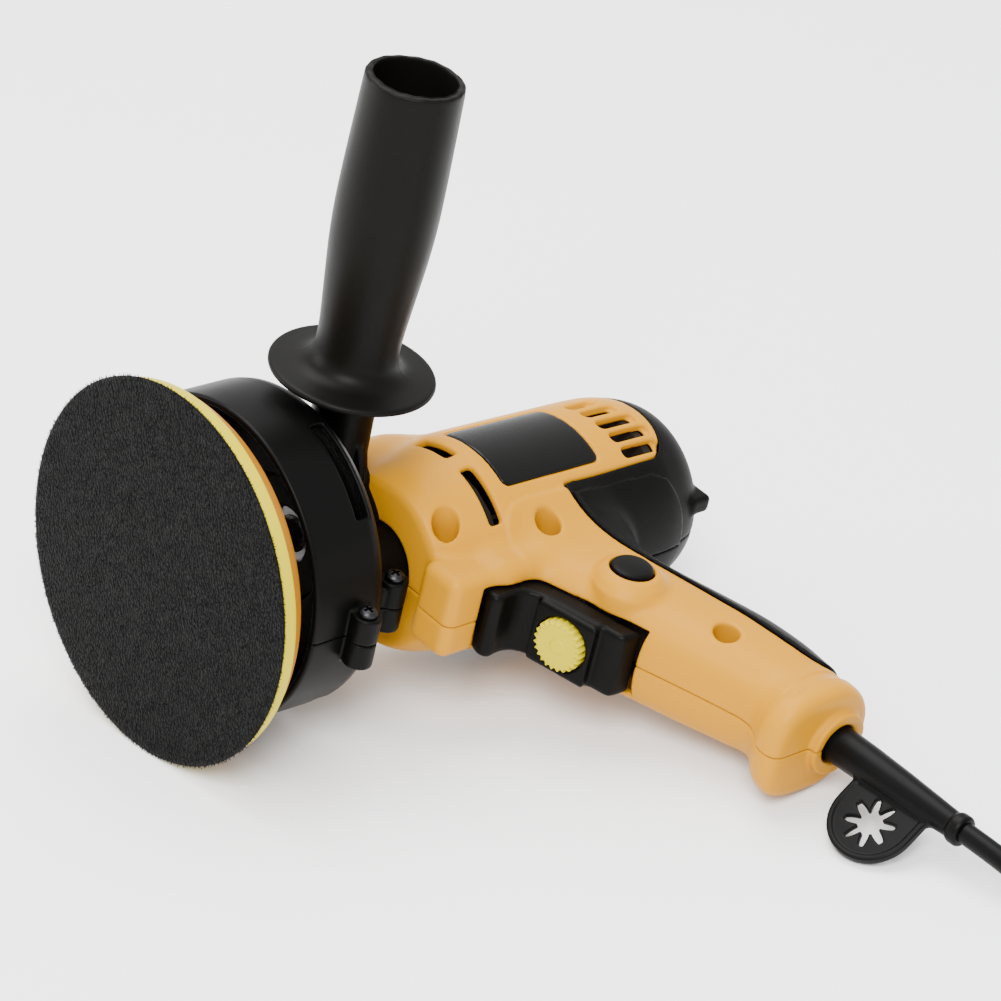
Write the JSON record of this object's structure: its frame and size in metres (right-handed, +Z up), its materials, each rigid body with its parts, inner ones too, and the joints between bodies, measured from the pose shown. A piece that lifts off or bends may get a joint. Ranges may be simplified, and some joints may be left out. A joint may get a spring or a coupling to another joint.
{
  "type": "rotary polisher",
  "caption": "Corded pistol-grip rotary polisher with a hook-and-loop pad in a split shroud, side handle, trigger, speed dial and lock-on button.",
  "frame": {"origin": "on the ground, under the middle of the tool's box, without the cord and what is on it", "axes": "+Z up from the ground the tool lies on, -Y out of the pad, +X along the grip towards the cord"},
  "size_m": [0.407, 0.2699, 0.2153],
  "materials": {
    "yellow": "satin moulded plastic, warm yellow",
    "lemon": "satin, lemon yellow",
    "black": "satin black moulded plastic",
    "label": "printed plate, left blank",
    "rubber": "matte black",
    "tie": "hook-and-loop strap",
    "hook": "black hook fleece",
    "steel": "machined",
    "laminate": "stacked sheet steel",
    "copper": "copper and bronze",
    "carbon": "carbon block",
    "grey": "moulded grey plastic"
  },
  "bodies": {
    "housing": {"housing_left": "yellow", "housing_right": "yellow", "rear_cover_left": "black", "rear_cover_right": "black", "label_left": "label", "label_right": "label", "gear_case_cover": "black", "gear_case_plate": "grey", "nose_bush": "copper", "spindle_bearing_front": "steel", "spindle_bearing_rear": "steel", "armature_bearing_front": "steel", "armature_bearing_rear": "steel", "stator": "laminate", "field_winding_front": "copper", "field_winding_rear": "copper", "motor_end_bracket": "black", "brush_left": "carbon", "brush_right": "carbon", "brush_holder_left": "grey", "brush_holder_right": "grey", "housing_screw_nose": "steel", "housing_screw_waist": "steel", "housing_screw_grip": "steel", "shroud_left": "black", "shroud_right": "black", "shroud_screw_lower": "steel", "shroud_screw_upper": "steel", "shroud_screw_collar": "steel", "side_handle": "black", "handle_stud": "steel", "switch_body": "grey", "cord_clamp": "grey", "strain_relief": "rubber", "cord": "rubber", "cord_coil": "rubber", "cord_tail": "rubber", "coil_tie": "tie", "plug_body": "rubber", "plug_pin_1": "steel", "plug_pin_2": "steel"},
    "spindle": {"pad_hook_face": "hook", "pad_foam": "lemon", "pad_hub": "steel", "spindle": "steel", "spindle_gear": "steel"},
    "armature": {"armature_shaft": "steel", "armature_pinion": "steel", "armature_core": "laminate", "commutator": "copper", "cooling_fan": "black"},
    "trigger": {"trigger": "black"},
    "speed_dial": {"speed_dial": "lemon"},
    "lock_button": {"lock_button": "black"}
  },
  "joints": [
    {"name": "spindle_spin", "type": "hinge", "parent": "housing", "child": "spindle", "pos_m": [-0.0503, -0.0925, 0.0627], "axis": [0.0208, -0.9907, 0.1341], "continuous": true},
    {"name": "armature_spin", "type": "hinge", "parent": "housing", "child": "armature", "pos_m": [-0.02809, 0.02639, 0.04278], "axis": [0.0208, -0.9907, 0.1341], "continuous": true},
    {"name": "trigger_pull", "type": "slide", "parent": "housing", "child": "trigger", "axis": [-0.3251, 0.9423, -0.0803], "range_m": [0, 0.0055], "stiffness_N_per_m": 900},
    {"name": "dial_turn", "type": "hinge", "parent": "trigger", "child": "speed_dial", "pos_m": [0.03322, 0.00132, 0.03677], "axis": [0.2509, -0.9634, 0.0947], "range_deg": [0, 290]},
    {"name": "lock_press", "type": "slide", "parent": "housing", "child": "lock_button", "axis": [-0.1516, -0.1357, -0.9791], "range_m": [0, 0.003], "stiffness_N_per_m": 800}
  ],
  "couplings": [
    {"joint": "armature_spin", "follows": "spindle_spin", "ratio": -3}
  ]
}
